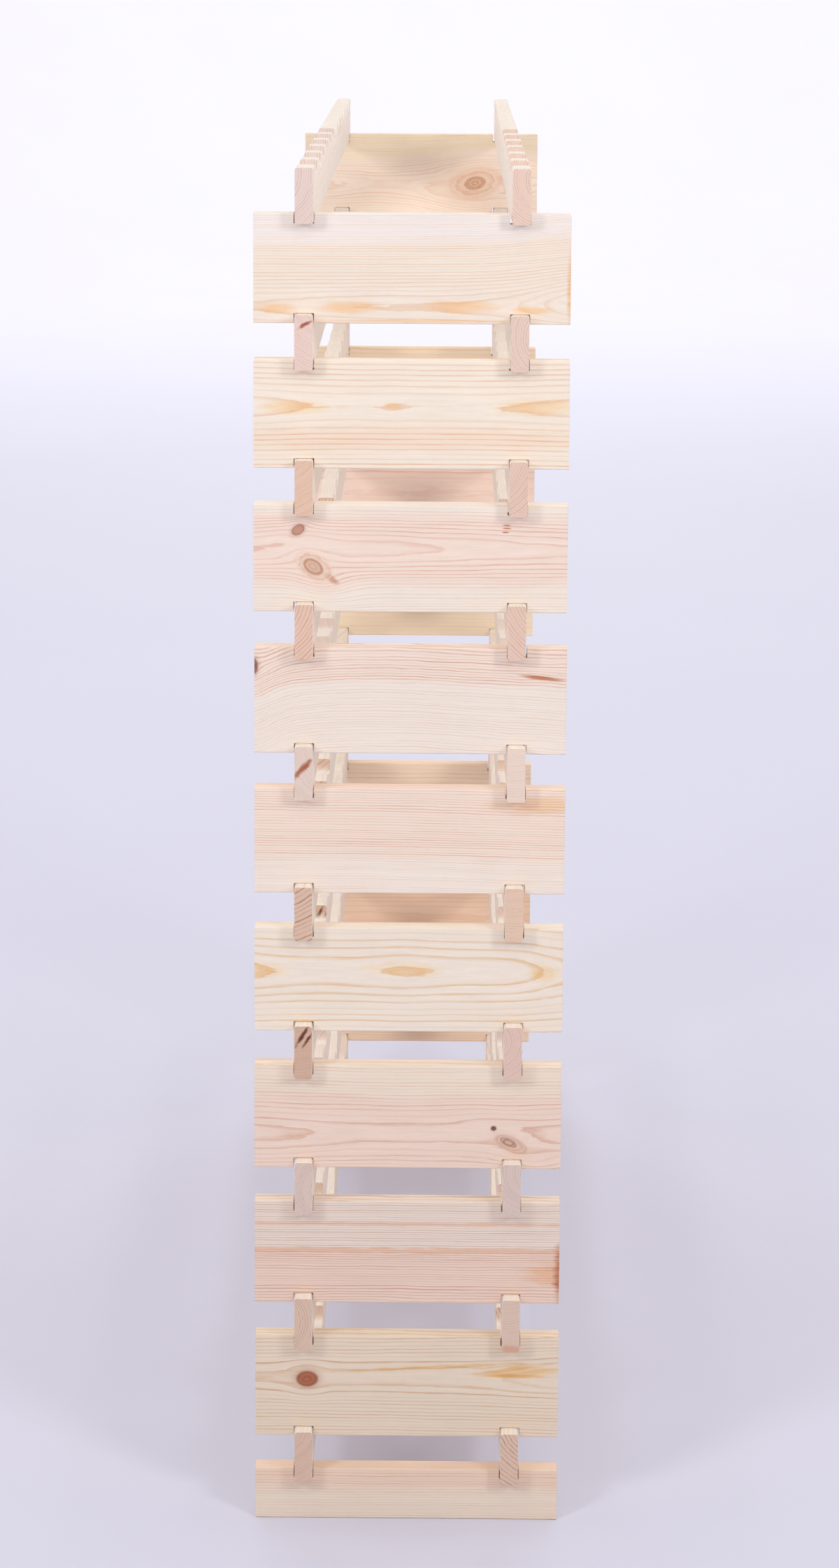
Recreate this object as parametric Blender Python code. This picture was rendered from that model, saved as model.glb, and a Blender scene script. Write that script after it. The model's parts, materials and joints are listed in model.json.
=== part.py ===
"""Tall open rack of solid pine that stacks without fasteners.

Rails with cradles cut in their tops run front to back in pairs. Notched end boards lie across them at the
front and the back, tier on tier, and each piece drops into the notches below it.
Metres, +Z up, +X across the rack, front at -Y. The origin is on the ground, under the
middle of the rack.
"""

import math

import bmesh
import bpy

# Tiers
TIERS = 10                 # pairs of rails, one pair to a tier
SEAT_GAP = 0.0003          # air left where one piece rests on another

# End boards, which lie across the rails
BOARD_WIDTH = 0.310
BOARD_HEIGHT = 0.108
BOARD_THICKNESS = 0.020
BASE_HEIGHT = BOARD_HEIGHT / 2     # the lowest boards are half boards
BOARD_SPAN = 1.192         # clear distance between the front boards and the back boards
NOTCH_WIDTH = 0.020
NOTCH_DEPTH = 0.010

# Rails, which run from front to back
RAIL_THICKNESS = 0.018
RAIL_HEIGHT = 0.055
RAIL_OVERHANG = 0.014      # how far a rail's end stands out past the boards
RAIL_SPACING = 0.211       # between the middles of a left rail and a right rail
RAIL_LENGTH = BOARD_SPAN + 2 * (BOARD_THICKNESS + RAIL_OVERHANG)

# Cradles along a rail's top edge. Each has a ramp on its side towards the nearer end of the
# rail and a round stop on its side towards the rail's middle, so the two halves are mirrored.
CRADLES = 12
CRADLE_PITCH = 0.100
CRADLE_CHORD = 0.068
CRADLE_DEPTH = 0.012
STOP_RADIUS = 0.024
ARC_STEPS = 6              # straight steps that each round stop is drawn with

# Heights that follow
SEAT = NOTCH_DEPTH - SEAT_GAP      # how deep a rail and a board really enter each other
RAIL_ONE_Z = BASE_HEIGHT - SEAT
TIER_PITCH = RAIL_HEIGHT + BOARD_HEIGHT - 2 * SEAT
BOARD_Y = (BOARD_SPAN + BOARD_THICKNESS) / 2

# Pine tones, as linear RGB
PALE = (0.80, 0.66, 0.48)
CREAM = (0.76, 0.60, 0.41)
ROSE = (0.74, 0.53, 0.38)
HONEY = (0.74, 0.57, 0.34)
RAIL_TONE = (0.72, 0.54, 0.40)
BOARD_TONES = [HONEY, ROSE, ROSE, HONEY, ROSE, CREAM, ROSE, CREAM, PALE]    # lowest first
PINE_ROUGHNESS = 0.55


def clear_scene():
    for obj in list(bpy.data.objects):
        bpy.data.objects.remove(obj)


def pine(name, tone):
    """A plain pine finish of one tone."""
    material = bpy.data.materials.new(name)
    material.use_nodes = True
    shader = material.node_tree.nodes["Principled BSDF"]
    shader.inputs["Base Color"].default_value = (*tone, 1.0)
    shader.inputs["Roughness"].default_value = PINE_ROUGHNESS
    shader.inputs["Metallic"].default_value = 0.0
    material.diffuse_color = (*tone, 1.0)
    return material


def extruded(name, outline, thickness):
    """A mesh from an outline in X and Z, going round from +X towards +Z, thick along Y."""
    mesh = bpy.data.meshes.new(name)
    shape = bmesh.new()
    front = [shape.verts.new((x, -thickness / 2, z)) for x, z in outline]
    face = shape.faces.new(front)
    result = bmesh.ops.extrude_face_region(shape, geom=[face])
    back = [item for item in result["geom"] if isinstance(item, bmesh.types.BMVert)]
    bmesh.ops.translate(shape, verts=back, vec=(0, thickness, 0))
    bmesh.ops.recalc_face_normals(shape, faces=shape.faces)
    shape.to_mesh(mesh)
    shape.free()
    return mesh


def notched_edge(z, inward, left_to_right):
    """Corners of a board's long edge, with a notch over each rail. inward is +1 or -1 in Z."""
    half = BOARD_WIDTH / 2
    corners = [(-half, z)]
    for middle in (-RAIL_SPACING / 2, RAIL_SPACING / 2):
        near, far = middle - NOTCH_WIDTH / 2, middle + NOTCH_WIDTH / 2
        floor = z + inward * NOTCH_DEPTH
        corners += [(near, z), (near, floor), (far, floor), (far, z)]
    corners.append((half, z))
    return corners if left_to_right else corners[::-1]


def board_mesh(name, height, notched_below):
    """A board standing on z = 0, notched along its top edge and, if asked, its lower edge."""
    half = BOARD_WIDTH / 2
    lower = notched_edge(0, 1, True) if notched_below else [(-half, 0), (half, 0)]
    upper = notched_edge(height, -1, False)
    return extruded(name, lower + upper, BOARD_THICKNESS)


def cradle_profile():
    """One cradle from its stop's rim to its ramp's rim, as (outward, down) from the stop's rim."""
    rise = STOP_RADIUS - CRADLE_DEPTH            # the stop's centre lies this far above the rims
    steep = math.acos(rise / STOP_RADIUS)
    centre = STOP_RADIUS * math.sin(steep)
    reach = CRADLE_CHORD - centre
    ramp = math.asin(STOP_RADIUS / math.hypot(reach, rise)) - math.atan2(rise, reach)
    points = []
    for step in range(ARC_STEPS + 1):
        angle = steep - (steep + ramp) * step / ARC_STEPS
        points.append((centre - STOP_RADIUS * math.sin(angle), STOP_RADIUS * math.cos(angle) - rise))
    points.append((CRADLE_CHORD, 0))
    return points


def rail_mesh(name):
    """A rail standing on z = 0 along X, with its cradles cut into the top edge."""
    half = RAIL_LENGTH / 2
    outline = [(-half, 0), (half, 0), (half, RAIL_HEIGHT)]
    for i in range(CRADLES):
        centre_x = ((CRADLES - 1) / 2 - i) * CRADLE_PITCH
        outward = math.copysign(1, centre_x)
        stop_x = centre_x - outward * CRADLE_CHORD / 2
        cradle = [(stop_x + outward * along, RAIL_HEIGHT - down) for along, down in cradle_profile()]
        outline += cradle[::-1] if outward > 0 else cradle
    outline.append((-half, RAIL_HEIGHT))
    return extruded(name, outline, RAIL_THICKNESS)


def place(name, mesh, tone, location, along_y=False):
    """One named piece of the rack. Each piece has its own copy of the mesh and its own pine."""
    piece = bpy.data.objects.new(name, mesh.copy())
    piece.data.materials.append(pine(name + "_pine", tone))
    piece.location = location
    piece.rotation_euler.z = math.pi / 2 if along_y else 0.0
    bpy.context.scene.collection.objects.link(piece)
    return piece


def build_base_boards(mesh):
    for side, y in (("front", -BOARD_Y), ("back", BOARD_Y)):
        place(f"base_board_{side}", mesh, CREAM, (0, y, 0))


def build_rails(mesh):
    for tier in range(TIERS):
        z = RAIL_ONE_Z + tier * TIER_PITCH
        for side, x in (("left", -RAIL_SPACING / 2), ("right", RAIL_SPACING / 2)):
            place(f"rail_{side}_{tier + 1:02d}", mesh, RAIL_TONE, (x, 0, z), along_y=True)


def build_end_boards(mesh):
    for tier in range(TIERS - 1):
        z = RAIL_ONE_Z + tier * TIER_PITCH + RAIL_HEIGHT - SEAT
        for side, y in (("front", -BOARD_Y), ("back", BOARD_Y)):
            place(f"end_board_{side}_{tier + 1:02d}", mesh, BOARD_TONES[tier], (0, y, z))


def main():
    clear_scene()
    build_base_boards(board_mesh("base_board", BASE_HEIGHT, notched_below=False))
    build_rails(rail_mesh("rail"))
    build_end_boards(board_mesh("end_board", BOARD_HEIGHT, notched_below=True))


main()
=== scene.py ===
import json
import math
import random
from dataclasses import dataclass, field

import bmesh
import bpy
from mathutils import Matrix, Vector


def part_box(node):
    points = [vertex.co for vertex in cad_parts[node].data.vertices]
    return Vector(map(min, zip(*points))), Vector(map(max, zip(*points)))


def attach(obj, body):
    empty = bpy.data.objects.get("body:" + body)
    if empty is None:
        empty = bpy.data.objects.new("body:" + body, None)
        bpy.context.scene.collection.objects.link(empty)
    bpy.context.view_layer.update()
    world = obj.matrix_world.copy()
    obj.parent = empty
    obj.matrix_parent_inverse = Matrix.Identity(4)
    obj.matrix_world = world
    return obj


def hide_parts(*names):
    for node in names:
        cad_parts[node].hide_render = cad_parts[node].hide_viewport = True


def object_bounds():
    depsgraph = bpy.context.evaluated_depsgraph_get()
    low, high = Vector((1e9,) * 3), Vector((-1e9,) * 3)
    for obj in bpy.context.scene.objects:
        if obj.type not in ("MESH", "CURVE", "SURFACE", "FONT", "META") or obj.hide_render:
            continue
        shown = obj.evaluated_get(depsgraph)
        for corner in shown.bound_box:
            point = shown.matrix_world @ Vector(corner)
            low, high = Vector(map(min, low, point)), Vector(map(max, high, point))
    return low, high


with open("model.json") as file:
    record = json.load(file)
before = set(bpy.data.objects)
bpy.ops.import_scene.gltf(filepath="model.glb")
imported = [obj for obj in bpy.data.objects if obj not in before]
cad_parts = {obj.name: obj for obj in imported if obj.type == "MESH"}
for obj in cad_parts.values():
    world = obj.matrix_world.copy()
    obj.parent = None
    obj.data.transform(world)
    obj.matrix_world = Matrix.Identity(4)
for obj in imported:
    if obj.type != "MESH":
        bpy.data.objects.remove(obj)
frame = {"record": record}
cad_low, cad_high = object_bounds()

MM = 0.001
TIERS = 10                         # pairs of rails, one pair to a tier

# Where the boards and rails meet: the same clearances as the CAD solids
NOTCH_DEPTH = 10 * MM
NOTCH_CLEARANCE = 1 * MM           # air on each side of a rail in its notch

# Cradles along a rail's top edge
CRADLES = 12
CRADLE_PITCH = 100 * MM
CRADLE_CHORD = 68 * MM
CRADLE_DEPTH = 12 * MM
STOP_RADIUS = 24 * MM              # of the round stop on each cradle's side towards the middle
STOP_STEPS = 14
CUT_ABOVE = 6 * MM                 # how far the cutting shape stands above the rail

# Edges, as the planer and the sander leave them
RAIL_ROUND = 2.6 * MM
BOARD_ROUND = 1.6 * MM
SAWN_EASE = 0.35 * MM
SAWN_STEPS = 2
ROUND_STEPS = 5
EASED_FROM = math.radians(35)      # edges blunter than this are not eased
SHARP_FROM = math.radians(40)      # and edges blunter than this are shaded smooth


# ------------------------------------------------------------------ pieces

def finished(name, shape):
    """A mesh from a bmesh, which is freed."""
    mesh = bpy.data.meshes.new(name)
    shape.to_mesh(mesh)
    shape.free()
    return mesh


def bar_mesh(name, size, radius):
    """A bar of length, thickness and height along X, Y and Z, with its long edges rounded."""
    length, thickness, height = size
    corners = []
    for quarter, (y, z) in enumerate([(1, 1), (-1, 1), (-1, -1), (1, -1)]):
        for step in range(ROUND_STEPS + 1):
            angle = math.radians(90 * (quarter + step / ROUND_STEPS))
            corners.append((y * (thickness / 2 - radius) + radius * math.cos(angle),
                            z * (height / 2 - radius) + radius * math.sin(angle)))
    shape = bmesh.new()
    left = [shape.verts.new((-length / 2, y, z)) for y, z in corners]
    right = [shape.verts.new((length / 2, y, z)) for y, z in corners]
    for i in range(len(corners)):
        j = (i + 1) % len(corners)
        shape.faces.new((left[i], left[j], right[j], right[i]))
    shape.faces.new(left)
    shape.faces.new(right)
    bmesh.ops.recalc_face_normals(shape, faces=shape.faces)
    return finished(name, shape)


def link(name, mesh):
    obj = bpy.data.objects.new(name, mesh)
    bpy.context.scene.collection.objects.link(obj)
    return obj


def notch_cutter(board_size, rail_thickness, rail_middles, edges):
    """Boxes for the notches over each rail, in the long edges given as +1 (upper) or -1 (lower)."""
    shape = bmesh.new()
    for middle in rail_middles:
        for edge in edges:
            size = (rail_thickness + 2 * NOTCH_CLEARANCE, 2 * board_size.y, 2 * NOTCH_DEPTH)
            place = Matrix.Translation((middle, 0, edge * board_size.z / 2)) @ Matrix.Diagonal((*size, 1))
            bmesh.ops.create_cube(shape, size=1, matrix=place)
    return finished("notch_cutter", shape)


def cradle_profile():
    """One cradle from its stop's rim to its ramp's rim, as (outward, down) from the stop's rim."""
    rise = STOP_RADIUS - CRADLE_DEPTH
    steep = math.acos(rise / STOP_RADIUS)
    centre = STOP_RADIUS * math.sin(steep)
    reach = CRADLE_CHORD - centre
    ramp = math.asin(STOP_RADIUS / math.hypot(reach, rise)) - math.atan2(rise, reach)
    points = []
    for step in range(STOP_STEPS + 1):
        angle = steep - (steep + ramp) * step / STOP_STEPS
        points.append((centre - STOP_RADIUS * math.sin(angle), STOP_RADIUS * math.cos(angle) - rise))
    points.append((CRADLE_CHORD, 0.0))
    return points


def cradle_cutter(rail_size):
    """Solids that cut the cradles out of a rail's top edge. The two halves of a rail are mirrored."""
    outline = [(0, -CUT_ABOVE), *cradle_profile(), (CRADLE_CHORD, -CUT_ABOVE)]
    shape = bmesh.new()
    for i in range(CRADLES):
        middle = (i - (CRADLES - 1) / 2) * CRADLE_PITCH
        outward = math.copysign(1, middle)
        stop = middle - outward * CRADLE_CHORD / 2
        near = []
        far = []
        for along, down in outline:
            x = stop + outward * along
            z = rail_size.z / 2 - down
            near.append(shape.verts.new((x, -rail_size.y, z)))
            far.append(shape.verts.new((x, rail_size.y, z)))
        for k in range(len(outline)):
            following = (k + 1) % len(outline)
            shape.faces.new((near[k], near[following], far[following], far[k]))
        shape.faces.new(near)
        shape.faces.new(far)
    bmesh.ops.recalc_face_normals(shape, faces=shape.faces)
    return finished("cradle_cutter", shape)


def cut_mesh(name, blank, cutter):
    """The blank with the cutter's solids taken away and its sawn edges eased, shaded smooth where round."""
    piece = link(name, blank)
    tool = link(name + "_tool", cutter)
    cut = piece.modifiers.new("cut", "BOOLEAN")
    cut.object = tool
    cut.operation = "DIFFERENCE"
    cut.solver = "EXACT"
    ease = piece.modifiers.new("ease", "BEVEL")
    ease.width = SAWN_EASE
    ease.segments = SAWN_STEPS
    ease.limit_method = "ANGLE"
    ease.angle_limit = EASED_FROM
    ease.use_clamp_overlap = True
    evaluated = piece.evaluated_get(bpy.context.evaluated_depsgraph_get())
    mesh = bpy.data.meshes.new_from_object(evaluated)
    mesh.name = name
    bpy.data.objects.remove(piece)
    bpy.data.objects.remove(tool)
    mesh.shade_smooth()
    mesh.set_sharp_from_angle(angle=SHARP_FROM)
    return mesh


# ------------------------------------------------------------------ shader graph helper

class Graph:
    """Adds nodes to one material; any input may be a constant or another node's output."""

    def __init__(self, tree):
        self.tree = tree

    def node(self, kind, **settings):
        made = self.tree.nodes.new("ShaderNode" + kind)
        for key, value in settings.items():
            setattr(made, key, value)
        return made

    def feed(self, socket, value):
        if isinstance(value, bpy.types.NodeSocket):
            self.tree.links.new(value, socket)
        else:
            socket.default_value = value

    def math(self, operation, *values, clamp=False):
        made = self.node("Math", operation=operation, use_clamp=clamp)
        for socket, value in zip(made.inputs, values):
            self.feed(socket, value)
        return made.outputs[0]

    def add(self, *values):
        total = values[0]
        for value in values[1:]:
            total = self.math("ADD", total, value)
        return total

    def times(self, a, b):
        return self.math("MULTIPLY", a, b)

    def step(self, value, low, high):
        """0 at low and 1 at high, with a smooth rise between. low may be the larger."""
        made = self.node("MapRange", interpolation_type="SMOOTHSTEP")
        self.feed(made.inputs["Value"], value)
        self.feed(made.inputs["From Min"], low)
        self.feed(made.inputs["From Max"], high)
        return made.outputs["Result"]

    def bell(self, value, middle, width):
        """exp(-((value - middle) / width)^2)"""
        offset = self.math("DIVIDE", self.math("SUBTRACT", value, middle), width)
        return self.math("EXPONENT", self.times(self.times(offset, offset), -1.0))

    def length(self, a, b):
        return self.math("SQRT", self.add(self.times(a, a), self.times(b, b)))

    def vector(self, x, y, z):
        made = self.node("CombineXYZ")
        for socket, value in zip(made.inputs, (x, y, z)):
            self.feed(socket, value)
        return made.outputs[0]

    def noise(self, vector, detail=2.0, roughness=0.5):
        """Smooth noise with a mean of zero, about -1 to 1, at one unit of the vector's own scale."""
        made = self.node("TexNoise", noise_dimensions="3D")
        self.feed(made.inputs["Vector"], vector)
        made.inputs["Scale"].default_value = 1.0
        made.inputs["Detail"].default_value = detail
        made.inputs["Roughness"].default_value = roughness
        return self.math("MULTIPLY_ADD", made.outputs[0], 2.0, -1.0)

    def mix(self, factor, a, b, blend="MIX"):
        made = self.node("Mix", data_type="RGBA", blend_type=blend)
        self.feed(made.inputs[0], factor)
        self.feed(made.inputs[6], a)
        self.feed(made.inputs[7], b)
        return made.outputs[2]


# ------------------------------------------------------------------ pine

# How quickly each kind of noise changes, per mm along the grain and per mm across it
SLOW_BENDS = (0.006, 0.02)
QUICK_BENDS = (0.022, 0.09)
BLOTCHES = (0.008, 0.03)
DUCTS = (0.11, 2.2)
SWIRLS = (0.05, 0.2)
PORES = (0.3, 1.1)
FIBRE_ALONG, FIBRE_ACROSS, FIBRE_DRIFT = 0.018, 1.1, 0.25    # fibres follow the rings
SEED_SHIFT = 37.1                  # how far apart pieces with neighbouring seeds read their noise

# Rings and grain
SLOW_BEND_SIZE, QUICK_BEND_SIZE = 1.6, 0.8    # shares of a pine's wave
KNOT_SLANT = 0.12                  # rise of a branch for each mm that it runs through the board
YEAR_SCALE = 0.16                  # how quickly ring widths change, per ring
YEAR_DRIFT = 1.6                   # how many rings an uneven pine can run ahead or behind
EVEN_RINGS = 3                     # rings near the first one that stay in place
RAGGED = 0.22                      # how far fibres pull a ring line off its place, in rings
COUNT_START = 60.0                 # keeps the count of rings above zero
HEART_EDGE = 5.0                   # half the width of the change from heartwood to sapwood, mm
HEART_RAGGED = 5.0                 # and how far it wanders, mm

LATE_FROM, LATE_TO = 0.95, 1.0     # where in a ring its late wood is darkest and where it ends

# Shades that lie over the wood's colours
FIBRE_SHADE, BLOTCH_SHADE, DUCT_SHADE, PORE_SHADE = 0.085, 0.03, -0.08, 0.15
DUCT_EDGE = (0.42, 0.62)           # values of the noise where a resin duct begins and is full
GREEN_POWER, BLUE_POWER = 1.25, 1.5    # a shade takes more green and most blue, so it is warm
END_EARLY = (1.07, 1.07, 1.07)     # early and late wood at a sawn end, as shares of its mean colour
END_LATE = (0.70, 0.57, 0.47)
ACROSS_FIBRES = (0.15, 0.7)        # how far a face turns towards a piece's end to begin and to be end grain

# Edges of knots and marks, in their own sizes: where they begin and where they are full
MARK_EDGE = (1.25, 0.35)
KNOT_EDGE = (1.1, 0.85)
KNOT_HALO = (0.9, 0.6)             # middle and width of the warm halo
KNOT_RIM = (1.0, 0.12)             # middle and width of the dark rim
KNOT_SWIRL = 0.6                   # how far a knot's rings wander, in rings
KNOT_THIN = 0.2                    # share of a knot's ring that is pale

# The planed surface
ROUGHNESS, FIBRE_ROUGHNESS = 0.58, 0.06
GLOSS = 0.3                        # specular level
RELIEF = 0.25 * MM                 # height of the raised late wood and fibres
RELIEF_STRENGTH = 0.35
LATE_RELIEF, FIBRE_RELIEF = 0.6, 0.5


def srgb(red, green, blue):
    """A colour given as 0 to 255 screen values, as linear RGBA."""
    linear = [((c / 255 + 0.055) / 1.055) ** 2.4 if c > 10 else c / 255 / 12.92 for c in (red, green, blue)]
    return (*linear, 1.0)


def shaded(tone, *scales):
    """A tone with each of its screen values scaled, to 255 at most."""
    return tuple(min(255, value * scale) for value, scale in zip(tone, scales))


@dataclass
class Knot:
    """A branch that the saw went through. Lengths are in millimetres, on the board's front face."""
    along: float               # from the board's middle
    up: float
    long: float = 9.0          # half length and half height of the oval
    high: float = 6.0
    turn: float = 0.0          # degrees that the oval is turned
    push: float = 0.85         # how strongly the grain is pushed aside
    reach: float = 2.0         # how far that push is felt, in knot sizes
    rings: float = 3.0
    light: tuple = (222, 176, 150)
    dark: tuple = (186, 122, 96)
    rim: float = 0.6
    halo: float = 0.45
    fill: float = 1.0          # how far the knot's own colours cover the wood


@dataclass
class Mark:
    """A soft patch of stain, resin or deeper colour, which tints the wood under it."""
    along: float
    up: float
    long: float                # half length and half height, mm
    high: float
    tint: tuple                # how white wood would look there
    turn: float = 0.0
    rough: float = 0.35        # how much its edge wanders, in its own sizes


@dataclass
class Pine:
    """One piece's timber: where the tree's pith runs and how the rings and colours lie round it."""
    seed: int = 0
    depth: float = 30.0        # from the front face back to the pith, mm
    up: float = 0.0            # pith above the middle of the piece, mm
    lean: float = 0.0          # change of that depth, mm per mm along the piece
    climb: float = 0.0         # change of the pith's height, mm per mm along the piece
    bumps: list = field(default_factory=list)    # (along, change of depth, length), mm
    sways: list = field(default_factory=list)    # (along, change of height, length), mm
    start: float = 0.0         # where along the piece depth and up are given
    ring: float = 4.0          # mean ring width, mm
    first: float = 24.0        # radius of one dark ring line, mm
    uneven: float = 0.5        # how much ring widths vary
    wave: float = 0.8          # how far the grain wanders, mm
    heart: float = 0.0         # radius of the pink heartwood, mm
    line: float = 0.6          # strength of the dark late wood
    thin: float = 0.6          # share of a ring that is pale early wood
    sap: tuple = (246, 232, 218)
    sap_line: tuple = (226, 184, 146)
    core: tuple = (243, 217, 203)
    core_line: tuple = (216, 160, 136)
    knots: list = field(default_factory=list)
    marks: list = field(default_factory=list)
    end: tuple = (226, 196, 180)                 # mean colour of the end grain
    end_line: float = 0.6
    end_marks: list = field(default_factory=list)    # as marks, but across the end, from its middle


def oval(g, shape, along, up):
    """Distance from an oval's middle, in units of its own half length and half height."""
    turn = math.radians(shape.turn)
    off_along = g.math("SUBTRACT", along, shape.along)
    off_up = g.math("SUBTRACT", up, shape.up)
    a = g.add(g.times(off_along, math.cos(turn) / shape.long), g.times(off_up, math.sin(turn) / shape.long))
    b = g.add(g.times(off_along, -math.sin(turn) / shape.high), g.times(off_up, math.cos(turn) / shape.high))
    return g.length(a, b), off_up


def tinted(g, colour, marks, along, up, swirl):
    """The colour with each mark's tint laid over it."""
    for mark in marks:
        distance, _ = oval(g, mark, along, up)
        cover = g.step(g.add(distance, g.times(swirl, mark.rough)), *MARK_EDGE)
        colour = g.mix(cover, colour, g.mix(1.0, colour, srgb(*mark.tint), "MULTIPLY"))
    return colour


def ring_lines(g, count, thin, seed):
    """Late wood from a running ring count: it darkens slowly through each ring and ends at once."""
    number = g.math("FLOOR", count)
    part = g.math("SUBTRACT", count, number)
    rise = g.step(part, thin, LATE_FROM)
    fall = g.step(part, LATE_TO, LATE_FROM)
    chance = g.node("TexWhiteNoise", noise_dimensions="1D")
    g.feed(chance.inputs["W"], g.add(number, seed + 0.5))
    strength = g.math("MULTIPLY_ADD", chance.outputs["Value"], 0.75, 0.25)
    return g.times(g.times(rise, fall), strength)


class Spot:
    """Where a shaded point lies in its piece, in mm, as sockets."""

    def __init__(self, g, coords, seed):
        self.g = g
        millimetres = g.node("VectorMath", operation="SCALE")
        g.feed(millimetres.inputs[0], coords.outputs["Object"])
        millimetres.inputs["Scale"].default_value = 1 / MM
        split = g.node("SeparateXYZ")
        g.feed(split.inputs[0], millimetres.outputs[0])
        self.along, self.depth, self.up = split.outputs
        self.shift = seed * SEED_SHIFT

    def stretched(self, along_scale, across_scale, shift):
        """This place drawn out along the grain, for reading noise."""
        g = self.g
        return g.vector(g.math("MULTIPLY_ADD", self.along, along_scale, shift),
                        g.times(self.depth, across_scale), g.times(self.up, across_scale))

    def noise(self, scales, detail):
        return self.g.noise(self.stretched(*scales, self.shift), detail)


def grain_bends(g, spot, wave):
    """How far the grain wanders off its line, in mm."""
    slow = g.times(spot.noise(SLOW_BENDS, 1.0), wave * SLOW_BEND_SIZE)
    quick = g.times(spot.noise(QUICK_BENDS, 2.0), wave * QUICK_BEND_SIZE)
    return g.add(slow, quick)


def parted_by_knots(g, spot, knots):
    """The height that a point's grain would have without knots, and the point's distance from each knot."""
    level = spot.up
    distances = []
    for knot in knots:
        distance, off_up = oval(g, knot, spot.along, g.math("MULTIPLY_ADD", spot.depth, KNOT_SLANT, spot.up))
        near = g.bell(distance, 0.0, knot.reach)
        level = g.math("SUBTRACT", level, g.times(g.times(off_up, near), knot.push))
        distances.append(distance)
    return level, distances


def pith_distance(g, spot, p, half_thickness, level):
    """Distance from the pith, which bends as the trunk did."""
    from_start = g.math("SUBTRACT", spot.along, p.start)
    pith_depth = g.math("MULTIPLY_ADD", from_start, p.lean, p.depth)
    for middle, change, length in p.bumps:
        pith_depth = g.add(pith_depth, g.times(g.bell(spot.along, middle, length), change))
    pith_up = g.math("MULTIPLY_ADD", from_start, p.climb, p.up)
    for middle, change, length in p.sways:
        pith_up = g.add(pith_up, g.times(g.bell(spot.along, middle, length), change))
    to_pith = g.math("SUBTRACT", g.math("SUBTRACT", pith_depth, half_thickness), spot.depth)
    return g.length(to_pith, g.math("SUBTRACT", level, pith_up))


def ring_count(g, spot, p, radius, fibre):
    """A number that grows by one with each ring, more evenly near the ring whose radius is given."""
    from_first = g.math("SUBTRACT", radius, p.first)
    years = g.noise(g.vector(g.math("MULTIPLY_ADD", radius, YEAR_SCALE / p.ring, spot.shift), 0.5, 0.5), 1.0)
    loose = g.step(g.math("ABSOLUTE", from_first), 0.0, EVEN_RINGS * p.ring)
    return g.add(g.times(from_first, 1 / p.ring), g.times(g.times(years, loose), YEAR_DRIFT * p.uneven),
                 g.times(fibre, RAGGED), COUNT_START)


def wood_colour(g, spot, p, radius, late, fibre):
    """Sapwood and heartwood, each with its own late wood, and fine fibres and short resin ducts over both."""
    blotch = spot.noise(BLOTCHES, 2.0)
    heart = g.step(g.add(radius, g.times(blotch, HEART_RAGGED)), p.heart + HEART_EDGE, p.heart - HEART_EDGE)
    early_tone = g.mix(heart, srgb(*p.sap), srgb(*p.core))
    late_tone = g.mix(heart, srgb(*p.sap_line), srgb(*p.core_line))
    colour = g.mix(g.times(late, p.line), early_tone, late_tone)
    ducts = g.step(spot.noise(DUCTS, 0.0), *DUCT_EDGE)
    shade = g.add(1.0, g.times(fibre, FIBRE_SHADE), g.times(blotch, BLOTCH_SHADE), g.times(ducts, DUCT_SHADE))
    warm = g.vector(shade, g.math("POWER", shade, GREEN_POWER), g.math("POWER", shade, BLUE_POWER))
    return g.mix(1.0, colour, warm, "MULTIPLY")


def with_knot(g, colour, knot, distance, swirl, seed):
    """The colour with one knot over it: close rings of its own, a dark rim and a warm halo."""
    halo = g.times(g.bell(distance, *KNOT_HALO), knot.halo)
    colour = g.mix(halo, colour, srgb(*knot.light))
    count = g.math("MULTIPLY_ADD", distance, knot.rings, g.times(swirl, KNOT_SWIRL))
    own = g.mix(ring_lines(g, count, KNOT_THIN, seed), srgb(*knot.light), srgb(*knot.dark))
    colour = g.mix(g.times(g.step(distance, *KNOT_EDGE), knot.fill), colour, own)
    rim = g.times(g.bell(distance, *KNOT_RIM), knot.rim)
    return g.mix(rim, colour, srgb(*knot.dark))


def end_grain(g, spot, p, late, swirl):
    """The colour of a sawn end: ring lines, open pores and marks of its own."""
    pores = g.noise(spot.stretched(*PORES, 0.0), 3.0, 0.6)
    early_tone = srgb(*shaded(p.end, *END_EARLY))
    late_tone = srgb(*shaded(p.end, *END_LATE))
    colour = g.mix(g.times(late, p.end_line), early_tone, late_tone)
    speck = g.add(1.0, g.times(pores, PORE_SHADE))
    colour = g.mix(1.0, colour, g.vector(speck, speck, speck), "MULTIPLY")
    return tinted(g, colour, p.end_marks, g.times(spot.depth, -1.0), spot.up, swirl)


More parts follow.
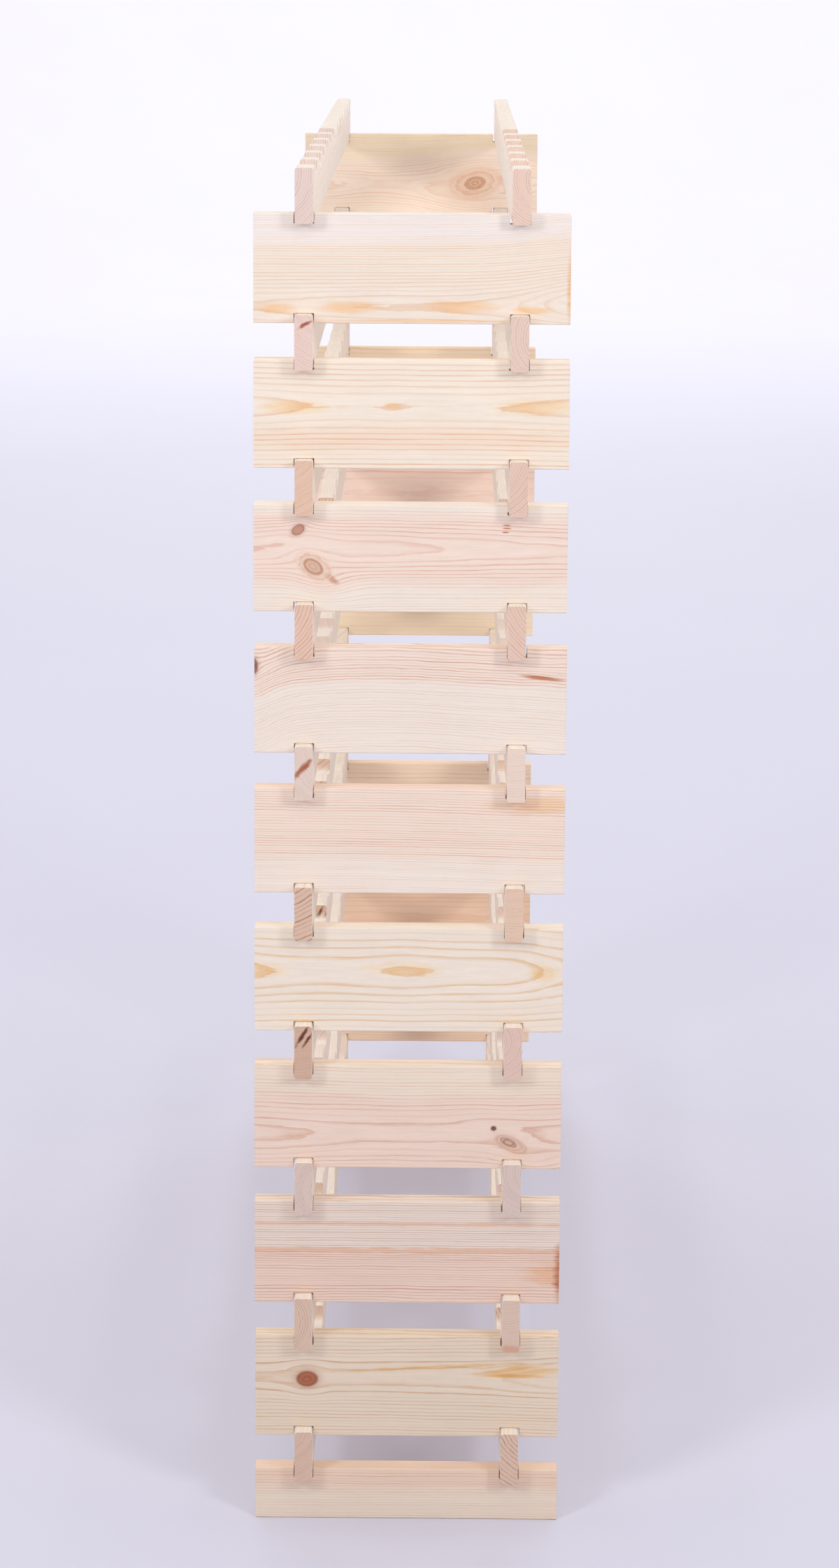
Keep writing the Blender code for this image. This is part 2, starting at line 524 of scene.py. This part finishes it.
def pine_material(name, p, thickness):
    """Solid pine for a piece of one thickness. Every face of the piece is a cut through the same tree."""
    material = bpy.data.materials.new(name)
    material.use_nodes = True
    g = Graph(material.node_tree)
    shader = material.node_tree.nodes["Principled BSDF"]
    coords = g.node("TexCoord")
    spot = Spot(g, coords, p.seed)

    level, distances = parted_by_knots(g, spot, p.knots)
    radius = g.add(pith_distance(g, spot, p, thickness / MM / 2, level), grain_bends(g, spot, p.wave))
    fibre = g.noise(g.vector(g.math("MULTIPLY_ADD", spot.along, FIBRE_ALONG, spot.shift),
                             g.times(radius, FIBRE_ACROSS), g.times(g.add(spot.depth, spot.up), FIBRE_DRIFT)),
                    3.0, 0.65)
    lines = ring_lines(g, ring_count(g, spot, p, radius, fibre), p.thin, p.seed)
    late = g.times(lines, g.math("MULTIPLY_ADD", fibre, 0.9, 0.85, clamp=True))
    swirl = spot.noise(SWIRLS, 2.0)

    colour = tinted(g, wood_colour(g, spot, p, radius, late, fibre), p.marks, spot.along, spot.up, swirl)
    for knot, distance in zip(p.knots, distances):
        colour = with_knot(g, colour, knot, distance, swirl, p.seed)
    facing = g.node("SeparateXYZ")
    g.feed(facing.inputs[0], coords.outputs["Normal"])
    across = g.step(g.math("ABSOLUTE", facing.outputs[0]), *ACROSS_FIBRES)
    g.feed(shader.inputs["Base Color"], g.mix(across, colour, end_grain(g, spot, p, late, swirl)))
    g.feed(shader.inputs["Roughness"], g.math("MULTIPLY_ADD", fibre, FIBRE_ROUGHNESS, ROUGHNESS))
    shader.inputs["Specular IOR Level"].default_value = GLOSS

    bump = g.node("Bump")
    bump.inputs["Strength"].default_value = RELIEF_STRENGTH
    bump.inputs["Distance"].default_value = RELIEF
    g.feed(bump.inputs["Height"], g.add(g.times(late, LATE_RELIEF), g.times(fibre, FIBRE_RELIEF)))
    g.feed(shader.inputs["Normal"], bump.outputs[0])
    return material


# What the marks turn white wood into
ORANGE = (255, 231, 200)
YELLOW = (255, 241, 216)
HONEY = (250, 226, 188)
AMBER = (250, 212, 164)
BROWN = (206, 150, 118)

# The front end boards, from the top one down to the base board
FRONT = [
    Pine(seed=1, depth=33, up=-38, lean=-0.008, ring=2.1, first=33, uneven=0.3, line=0.8, heart=72,
         bumps=[(180, -6, 62)], sways=[(190, 5, 90)], wave=0.6,
         sap=(247, 236, 227), sap_line=(230, 200, 168), core=(246, 231, 214), core_line=(228, 180, 124),
         marks=[Mark(-62, -38, 34, 7, ORANGE), Mark(-132, -39, 20, 6, ORANGE), Mark(48, -37, 40, 7, ORANGE),
                Mark(118, -40, 22, 4, ORANGE), Mark(8, -51, 105, 1.8, ORANGE), Mark(157, -20, 6, 44, AMBER)]),
    Pine(seed=2, depth=20.3, up=7.5, ring=4.6, first=20, uneven=0.2, line=0.75, wave=0.35,
         bumps=[(-172, -3.6, 60), (-18, -0.6, 16), (172, -2.8, 68)],
         sap=(248, 234, 215), sap_line=(230, 172, 122),
         marks=[Mark(-116, 7, 36, 8, YELLOW), Mark(-18, 8, 10, 4, YELLOW), Mark(124, 8, 44, 9, YELLOW),
                Mark(0, -24, 260, 14, (255, 246, 240))]),
    Pine(seed=3, depth=24.1, up=9, lean=0.015, ring=2.6, first=25, uneven=0.5, line=0.75, heart=42,
         sap=(247, 234, 218), sap_line=(230, 194, 160), core=(247, 225, 208), core_line=(218, 140, 106),
         knots=[Knot(-95, -10, 20, 12, -35, rings=2.2, push=0.85, reach=1.7, light=(248, 226, 206),
                     dark=(224, 160, 118), rim=0.1, fill=0.6, halo=0.3),
                Knot(-96, -10, 10, 6.5, -35, rings=2, push=0, light=(224, 188, 162),
                     dark=(188, 124, 88), rim=0.6),
                Knot(-111, 27, 6.5, 4.5, 35, rings=2, light=(208, 156, 132), dark=(164, 110, 90))],
         marks=[Mark(95, 34, 5, 0.9, BROWN), Mark(95, 31, 5, 0.9, BROWN), Mark(94, 27, 4, 0.9, BROWN),
                Mark(-79, -20, 10, 3.5, BROWN, -35)]),
    Pine(seed=4, depth=24, up=74, ring=2.8, first=30, uneven=0.9, line=0.85, heart=68, wave=2.2,
         sways=[(-20, 12, 150), (-160, -14, 30)], thin=0.45,
         sap=(247, 234, 220), sap_line=(230, 196, 164), core=(248, 228, 212), core_line=(208, 142, 100),
         knots=[Knot(-157, 33, 5, 8, 0, rings=1.5, push=0.5, dark=(120, 78, 64), light=(160, 108, 88))],
         marks=[Mark(131, 24, 24, 2.4, BROWN, -6)]),
    Pine(seed=5, depth=50, up=100, ring=2.2, first=110, uneven=0.8, line=0.9, heart=127, wave=1.0, thin=0.5,
         sways=[(170, -4, 120)],
         sap=(248, 234, 219), sap_line=(234, 204, 172), core=(249, 229, 211), core_line=(218, 148, 110),
         marks=[Mark(128, 38, 50, 10, (253, 236, 212), rough=0.7)]),
    Pine(seed=6, depth=23.2, up=9, ring=5.8, first=27.9, uneven=0.35, line=0.75, wave=0.6, thin=0.6,
         bumps=[(-175, -4, 42), (-4, -2.0, 38), (168, 8, 42)],
         sap=(246, 232, 214), sap_line=(228, 176, 96),
         marks=[Mark(-4, 11, 46, 8, (255, 246, 230), rough=0.6), Mark(-150, 9, 30, 9, YELLOW),
                Mark(136, 8, 16, 11, YELLOW)]),
    Pine(seed=7, depth=29, up=-17, ring=3.1, first=27.8, uneven=0.5, line=0.7, heart=49, wave=1.2,
         bumps=[(-170, -3.5, 80), (180, -4, 70)],
         sap=(243, 226, 206), sap_line=(222, 172, 122), core=(243, 218, 200), core_line=(208, 144, 106),
         knots=[Knot(87, -12.5, 2.4, 2.2, rings=0.5, push=0.6, light=(120, 74, 56), dark=(104, 62, 48)),
                Knot(105, -29, 16, 7, -25, rings=2.4, push=0.9, reach=2.4, light=(232, 200, 178),
                     dark=(192, 140, 112), rim=0.3),
                Knot(102, -27, 8, 3.6, -25, rings=1.2, push=0, light=(216, 182, 160), dark=(166, 112, 86))]),
    Pine(seed=8, depth=50, up=-100, ring=2.2, first=112, uneven=0.7, line=1.0, heart=112, wave=1.1, thin=0.45,
         sap=(238, 222, 207), sap_line=(206, 162, 128), core=(240, 214, 196), core_line=(202, 136, 100),
         marks=[Mark(0, 30, 400, 2.4, (252, 232, 220), rough=0.8),
                Mark(0, 2, 400, 3.4, (250, 226, 210), rough=0.9),
                Mark(160, -24, 11, 36, (204, 146, 114), rough=0.6),
                Mark(152, -22, 36, 14, (252, 230, 210), rough=0.7)]),
    Pine(seed=9, depth=26.5, up=10, lean=-0.008, ring=3.0, first=25.5, uneven=0.6, line=0.8, wave=1.0,
         bumps=[(170, -3, 60)],
         sap=(235, 217, 194), sap_line=(206, 150, 92),
         knots=[Knot(-102, 6, 10.4, 7.8, rings=2, reach=2.1, light=(178, 108, 76), dark=(148, 82, 58),
                     halo=0.35)],
         marks=[Mark(104, 19, 46, 2.4, HONEY, 8, 0.6), Mark(108, 12, 42, 2.4, HONEY, -1, 0.6),
                Mark(120, 16, 44, 6, (255, 236, 204), 4), Mark(30, 21, 110, 2.2, HONEY, 3, 0.7)]),
    Pine(seed=10, depth=40, up=52, ring=2.1, first=50, uneven=0.7, line=0.8, heart=61, wave=0.8,
         sap=(240, 223, 203), sap_line=(218, 176, 136), core=(240, 213, 190), core_line=(212, 156, 120)),
]


@dataclass
class RailEnd:
    """The look of one rail's near end: how its rings cross it, and its mean colour."""
    slope: float               # degrees that the ring lines rise to the right
    tone: tuple
    pith: float = 70.0         # distance to the tree's middle, mm; below zero it lies to the other side
    ring: float = 2.4
    line: float = 0.6
    marks: list = field(default_factory=list)


# The near ends of the rails, from the top ones down
LEFT_RAILS = [
    RailEnd(62, (219, 197, 186), 45, line=0.55),
    RailEnd(-35, (223, 197, 184), 60, line=0.45, marks=[Mark(1, 18, 8, 2.2, (186, 124, 104), 30, 0.7)]),
    RailEnd(35, (220, 187, 163), 90, ring=1.8),
    RailEnd(55, (221, 186, 165), 80, ring=3.4, line=0.8),
    RailEnd(-52, (220, 200, 186), 60, ring=1.8, line=0.55,
            marks=[Mark(0, 6, 15, 3.4, (196, 132, 100), 48, 0.7)]),
    RailEnd(25, (211, 179, 157), 90, ring=4.6, line=1.0),
    RailEnd(3, (204, 170, 147), 90, ring=1.4, line=0.6,
            marks=[Mark(-1, 17, 13, 2.2, (128, 84, 66), 58, 0.6),
                   Mark(5, 14, 11, 1.8, (140, 92, 70), 58, 0.6)]),
    RailEnd(88, (211, 189, 176), -26, line=0.5),
    RailEnd(84, (209, 182, 161), 34, line=0.55),
    RailEnd(40, (210, 180, 160), 60, ring=1.9, line=0.6),
]
RIGHT_RAILS = [
    RailEnd(-55, (222, 194, 177), 30, line=0.55),
    RailEnd(-78, (220, 194, 179), 34, line=0.55),
    RailEnd(50, (219, 190, 172), 60),
    RailEnd(-48, (220, 190, 171), 80, ring=3.2),
    RailEnd(4, (226, 205, 188), 90, line=0.3),
    RailEnd(2, (221, 191, 167), 90, ring=1.8, line=0.5),
    RailEnd(58, (217, 188, 173), 24, line=0.55),
    RailEnd(-50, (210, 189, 178), 28, line=0.5),
    RailEnd(6, (211, 185, 167), 60, line=0.35, marks=[Mark(0, -25, 14, 6, (246, 222, 208))]),
    RailEnd(-42, (211, 182, 161), 70, ring=4.2, line=0.85),
]


# How far a rail's pith may lean aside and climb, mm per mm along the rail
RAIL_LEAN = 0.012
RAIL_CLIMB = 0.01


def rail_pine(seed, end, rail_size):
    """A rail's timber. Its near end is at the start of the piece, and its pith lies beside it."""
    chance = random.Random(seed)
    normal = math.radians(end.slope + 90)
    return Pine(seed=seed, start=-rail_size.x / 2 / MM,
                depth=rail_size.y / 2 / MM - end.pith * math.cos(normal), up=end.pith * math.sin(normal),
                lean=chance.uniform(-RAIL_LEAN, RAIL_LEAN), climb=chance.uniform(-RAIL_CLIMB, RAIL_CLIMB),
                ring=end.ring, first=abs(end.pith), wave=1.3, line=0.45,
                sap=(248, 236, 222), sap_line=(222, 184, 154), end=end.tone, end_line=end.line,
                end_marks=end.marks)


# The back end boards, from the top one down to the base board. Their inner faces show between the tiers.
# Their colours are set warmer and more saturated than the wood's own, as painted warm bounce light for the
# shade between the tiers.
BACK = [
    Pine(seed=41, depth=22, up=-14, ring=2.3, first=18.5, line=0.65, heart=44, wave=1.6, thin=0.5,
         bumps=[(-40, 2.4, 60), (150, -4, 60)],
         sap=(252, 234, 204), sap_line=(228, 184, 132), core=(255, 236, 214), core_line=(240, 180, 140),
         knots=[Knot(72, -12, 34, 20, 12, rings=2.6, push=0.9, reach=1.8, light=(250, 216, 188),
                     dark=(228, 166, 126), rim=0.1, halo=0.4, fill=0.6),
                Knot(72, -12, 13, 8, 12, rings=2.4, push=0, light=(236, 190, 156), dark=(204, 144, 108),
                     halo=0.2, fill=0.85)]),
    Pine(seed=42, depth=60, up=-10, ring=2.4, line=0.7, sap=(238, 200, 158), sap_line=(210, 150, 104)),
    Pine(seed=43, depth=50, up=20, ring=3.0, line=0.6, sap=(250, 228, 198), sap_line=(222, 172, 124)),
    Pine(seed=44, depth=80, up=0, ring=2.8, line=0.6, sap=(254, 226, 206), sap_line=(224, 160, 128)),
    Pine(seed=45, depth=70, up=30, ring=4.2, line=0.35, sap=(252, 231, 200), sap_line=(226, 184, 140)),
    Pine(seed=46, depth=60, up=-30, ring=4.6, line=0.9, sap=(250, 215, 172), sap_line=(194, 130, 78)),
    Pine(seed=47, depth=44, up=10, ring=3.4, line=0.6, sap=(248, 224, 196), sap_line=(222, 172, 128)),
    Pine(seed=48, depth=38, up=-20, ring=3.0, line=0.5, sap=(254, 219, 188), sap_line=(222, 160, 112)),
    Pine(seed=49, depth=52, up=34, ring=3.0, line=0.5, sap=(255, 226, 196), sap_line=(222, 166, 122)),
    Pine(seed=50, depth=40, up=10, ring=3.4, line=0.6, sap=(248, 224, 196), sap_line=(222, 172, 128)),
]


# ------------------------------------------------------------------ building the rack

# How far loose pieces may lie off their places, as they do in a rack put together by hand
BOARD_SHIFT = 0.4 * MM
RAIL_SIDE_SHIFT = 0.5 * MM
RAIL_END_SHIFT = 1 * MM
LAYING_SEED = 4
FIRST_RAIL_SEED = 70               # above the boards' seeds, so that no two pieces share one


def node_size(node):
    low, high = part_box(node)
    return high - low


def put(name, mesh, material, node, turn=0.0, nudge=(0, 0, 0)):
    """A finished piece in the place of a CAD node, on that node's body, turned about Z and nudged."""
    low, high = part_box(node)
    piece = link(name, mesh.copy())
    piece.data.materials.clear()
    piece.data.materials.append(material)
    piece.location = (low + high) / 2 + Vector(nudge)
    piece.rotation_euler.z = turn
    flat = piece.modifiers.new("flat_faces", "WEIGHTED_NORMAL")
    flat.keep_sharp = True
    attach(piece, node_body[node])
    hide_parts(node)
    return piece


node_body = {node: body for body, nodes in frame["record"]["behaviour"]["bodies"].items() for node in nodes}
board_size = node_size("end_board_front_01")
base_size = node_size("base_board_front")
across_rail = node_size("rail_left_01")
rail_size = Vector((across_rail.y, across_rail.x, across_rail.z))     # length, thickness, height
rail_middles = [sum(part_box(f"rail_{side}_01"), Vector()).x / 2 for side in ("left", "right")]

board_mesh = cut_mesh("board", bar_mesh("board_blank", board_size, BOARD_ROUND),
                      notch_cutter(board_size, rail_size.y, rail_middles, (1, -1)))
base_mesh = cut_mesh("base", bar_mesh("base_blank", base_size, BOARD_ROUND),
                     notch_cutter(base_size, rail_size.y, rail_middles, (1,)))
rail_mesh = cut_mesh("rail", bar_mesh("rail_blank", rail_size, RAIL_ROUND), cradle_cutter(rail_size))

chance = random.Random(LAYING_SEED)
for row, pines in enumerate(zip(FRONT[:-1], BACK[:-1])):
    tier = TIERS - 1 - row
    for side, pine in zip(("front", "back"), pines):
        material = pine_material(f"board_{side}_{tier:02d}", pine, board_size.y)
        node = f"end_board_{side}_{tier:02d}"
        put(f"{side}_board_{tier:02d}", board_mesh, material, node,
            nudge=(chance.uniform(-BOARD_SHIFT, BOARD_SHIFT), 0, 0))
for side, pine in (("front", FRONT[-1]), ("back", BACK[-1])):
    material = pine_material(f"base_{side}", pine, base_size.y)
    put(f"{side}_base", base_mesh, material, f"base_board_{side}")
for side, ends in (("left", LEFT_RAILS), ("right", RIGHT_RAILS)):
    for row, end in enumerate(ends):
        tier = TIERS - row
        pine = rail_pine(FIRST_RAIL_SEED + 2 * row + (side == "right"), end, rail_size)
        material = pine_material(f"rail_{side}_{tier:02d}", pine, rail_size.y)
        put(f"{side}_rail_{tier:02d}", rail_mesh, material, f"rail_{side}_{tier:02d}",
            turn=math.pi / 2, nudge=(chance.uniform(-RAIL_SIDE_SHIFT, RAIL_SIDE_SHIFT),
                                     chance.uniform(-RAIL_END_SHIFT, RAIL_END_SHIFT), 0))


# ------------------------------------------------------------------ studio

FLOOR_RINGS = (0.0, 2.0, 5.0, 8.0, 11.0)    # radii at which the floor is divided, metres
COVE_RADIUS = 5.0
COVE_STEPS = 16
COVE_TOP = 9.0                     # height of the wall above the floor
STEPS_AROUND = 96
MERGE_WITHIN = 1e-5                # joins the floor's points at its middle
PAPER_GRAIN = 1.2                  # patches per metre
PAPER_ROUGHNESS, PAPER_GLOSS = 0.9, 0.1


def studio():
    """A round floor that sweeps up into a wall all the way round."""
    profile = [(radius, 0.0) for radius in FLOOR_RINGS]
    for step in range(1, COVE_STEPS + 1):
        angle = math.radians(90 * step / COVE_STEPS)
        profile.append((FLOOR_RINGS[-1] + COVE_RADIUS * math.sin(angle), COVE_RADIUS * (1 - math.cos(angle))))
    profile.append((FLOOR_RINGS[-1] + COVE_RADIUS, COVE_TOP))
    shape = bmesh.new()
    verts = [shape.verts.new((r, 0, z)) for r, z in profile]
    edges = [shape.edges.new(pair) for pair in zip(verts, verts[1:])]
    bmesh.ops.spin(shape, geom=verts + edges, cent=(0, 0, 0), axis=(0, 0, 1), angle=2 * math.pi,
                   steps=STEPS_AROUND, use_merge=True)
    bmesh.ops.remove_doubles(shape, verts=shape.verts, dist=MERGE_WITHIN)
    bmesh.ops.recalc_face_normals(shape, faces=shape.faces)
    mesh = finished("studio_floor", shape)
    mesh.shade_smooth()
    floor = link("studio_floor", mesh)
    floor.location.z = cad_low.z
    floor.data.materials.append(paper())


def paper():
    """Matt lilac-white paper, very slightly uneven."""
    material = bpy.data.materials.new("studio_paper")
    material.use_nodes = True
    g = Graph(material.node_tree)
    shader = material.node_tree.nodes["Principled BSDF"]
    coords = g.node("TexCoord")
    grain = g.node("TexNoise")
    g.feed(grain.inputs["Vector"], coords.outputs["Object"])
    grain.inputs["Scale"].default_value = PAPER_GRAIN
    g.feed(shader.inputs["Base Color"], g.mix(grain.outputs[0], srgb(214, 213, 228), srgb(217, 216, 230)))
    shader.inputs["Roughness"].default_value = PAPER_ROUGHNESS
    shader.inputs["Specular IOR Level"].default_value = PAPER_GLOSS
    return material


def softbox(name, place, aim, size, power, colour=(1, 1, 1)):
    """A rectangular lamp at a place, turned to a point, with its size in metres and its power in watts."""
    lamp = bpy.data.lights.new(name, "AREA")
    lamp.shape = "RECTANGLE"
    lamp.size, lamp.size_y = size
    lamp.energy = power
    lamp.color = colour
    obj = bpy.data.objects.new(name, lamp)
    obj.location = place
    obj.rotation_euler = (Vector(aim) - Vector(place)).to_track_quat("-Z", "Y").to_euler()
    bpy.context.scene.collection.objects.link(obj)


def world_light(colour, strength):
    """Even light from all sides, which softens the shadows."""
    world = bpy.data.worlds.new("studio_air")
    world.use_nodes = True
    background = world.node_tree.nodes["Background"]
    background.inputs["Color"].default_value = (*colour, 1)
    background.inputs["Strength"].default_value = strength
    bpy.context.scene.world = world


studio()
world_light((1.0, 0.99, 0.98), 0.42)
softbox("near_top", (0, -2.2, 3.0), (0, -0.5, 1.2), (2.2, 1.2), 10)
softbox("far_front", (0, -6.5, 4.0), (0, 0, 0.9), (4.0, 3.0), 28)
for side, sign in (("left", -1), ("right", 1)):
    softbox(f"side_{side}", (sign * 2.35, -3.0, 2.5), (0, -0.4, 1.0), (0.8, 0.8), 37)
for side, sign in (("left", -1), ("right", 1)):
    softbox(f"low_{side}", (sign * 3.2, 0.2, 2.2), (0, 0.2, 0.4), (2.5, 2.0), 26)
softbox("back_top", (0, 3.2, 4.4), (0, 2.0, 0.0), (5.0, 3.0), 81)
softbox("wall_wash", (0, 8.5, 8.5), (0, 15.5, 0.5), (12.0, 3.0), 970, (1.0, 1.0, 0.93))

# ------------------------------------------------------------------ camera

SENSOR = 36.0                       # along the frame's long side, mm
LENS = 76.24                        # mm
LENS_SHIFT = -0.25                  # keeps the uprights nearly parallel, as in the photograph
FAR_CLIP = 100.0                    # metres
CAMERA_PLACE = (0.0309, -3.837, 1.6293)
CAMERA_PITCH, CAMERA_YAW, CAMERA_ROLL = 0.1412, 0.0072, 0.0055     # radians; pitch is downwards

camera = bpy.data.cameras.new("camera")
camera.sensor_width = SENSOR
camera.lens = LENS
camera.shift_y = LENS_SHIFT
camera.clip_end = FAR_CLIP
camera_object = bpy.data.objects.new("camera", camera)
camera_object.matrix_world = (Matrix.Translation(CAMERA_PLACE) @ Matrix.Rotation(CAMERA_YAW, 4, "Z")
                              @ Matrix.Rotation(math.pi / 2 - CAMERA_PITCH, 4, "X")
                              @ Matrix.Rotation(CAMERA_ROLL, 4, "Z"))
bpy.context.scene.collection.objects.link(camera_object)
bpy.context.scene.camera = camera_object
bpy.context.scene.view_settings.view_transform = "Standard"
